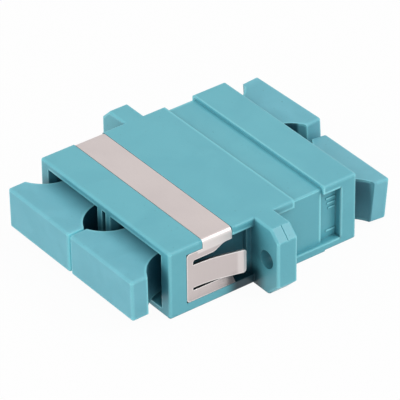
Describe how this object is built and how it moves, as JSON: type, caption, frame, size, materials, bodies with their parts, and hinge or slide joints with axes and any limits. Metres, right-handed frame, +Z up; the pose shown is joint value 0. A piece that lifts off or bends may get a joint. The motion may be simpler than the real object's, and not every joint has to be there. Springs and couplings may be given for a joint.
{
  "type": "sc duplex fibre adapter",
  "caption": "Flanged duplex fibre-optic coupling for SC plugs, with square ports at both ends, a bent steel panel clip, screw ears and a pull-out dust cap in each port.",
  "frame": {"origin": "on the underside, below the middle of the housing's length and width", "axes": "+X to the right seen from the front ports, +Y from the front ports to the rear ports, +Z up"},
  "size_m": [0.0352, 0.0387, 0.0094],
  "materials": {
    "housing_plastic": "satin moulded",
    "cap_plastic": "satin moulded, softer",
    "latch_plastic": "moulded",
    "spring_steel": "rolled stainless sheet",
    "zirconia": "ground"
  },
  "bodies": {
    "adapter": {"front_housing": "housing_plastic", "rear_housing": "housing_plastic", "panel_clip": "spring_steel", "latch_frame_front_left": "latch_plastic", "latch_frame_front_right": "latch_plastic", "latch_frame_rear_left": "latch_plastic", "latch_frame_rear_right": "latch_plastic", "split_sleeve_left": "zirconia", "split_sleeve_right": "zirconia"},
    "cap_front_left": {"dust_cap_front_left": "cap_plastic"},
    "cap_front_right": {"dust_cap_front_right": "cap_plastic"},
    "cap_rear_left": {"dust_cap_rear_left": "cap_plastic"},
    "cap_rear_right": {"dust_cap_rear_right": "cap_plastic"}
  },
  "joints": [
    {"name": "cap_front_left_pull", "type": "slide", "parent": "adapter", "child": "cap_front_left", "axis": [0, -1, 0], "range_m": [0, 0.012]},
    {"name": "cap_front_right_pull", "type": "slide", "parent": "adapter", "child": "cap_front_right", "axis": [0, -1, 0], "range_m": [0, 0.012]},
    {"name": "cap_rear_left_pull", "type": "slide", "parent": "adapter", "child": "cap_rear_left", "axis": [0, 1, 0], "range_m": [0, 0.012]},
    {"name": "cap_rear_right_pull", "type": "slide", "parent": "adapter", "child": "cap_rear_right", "axis": [0, 1, 0], "range_m": [0, 0.012]}
  ]
}
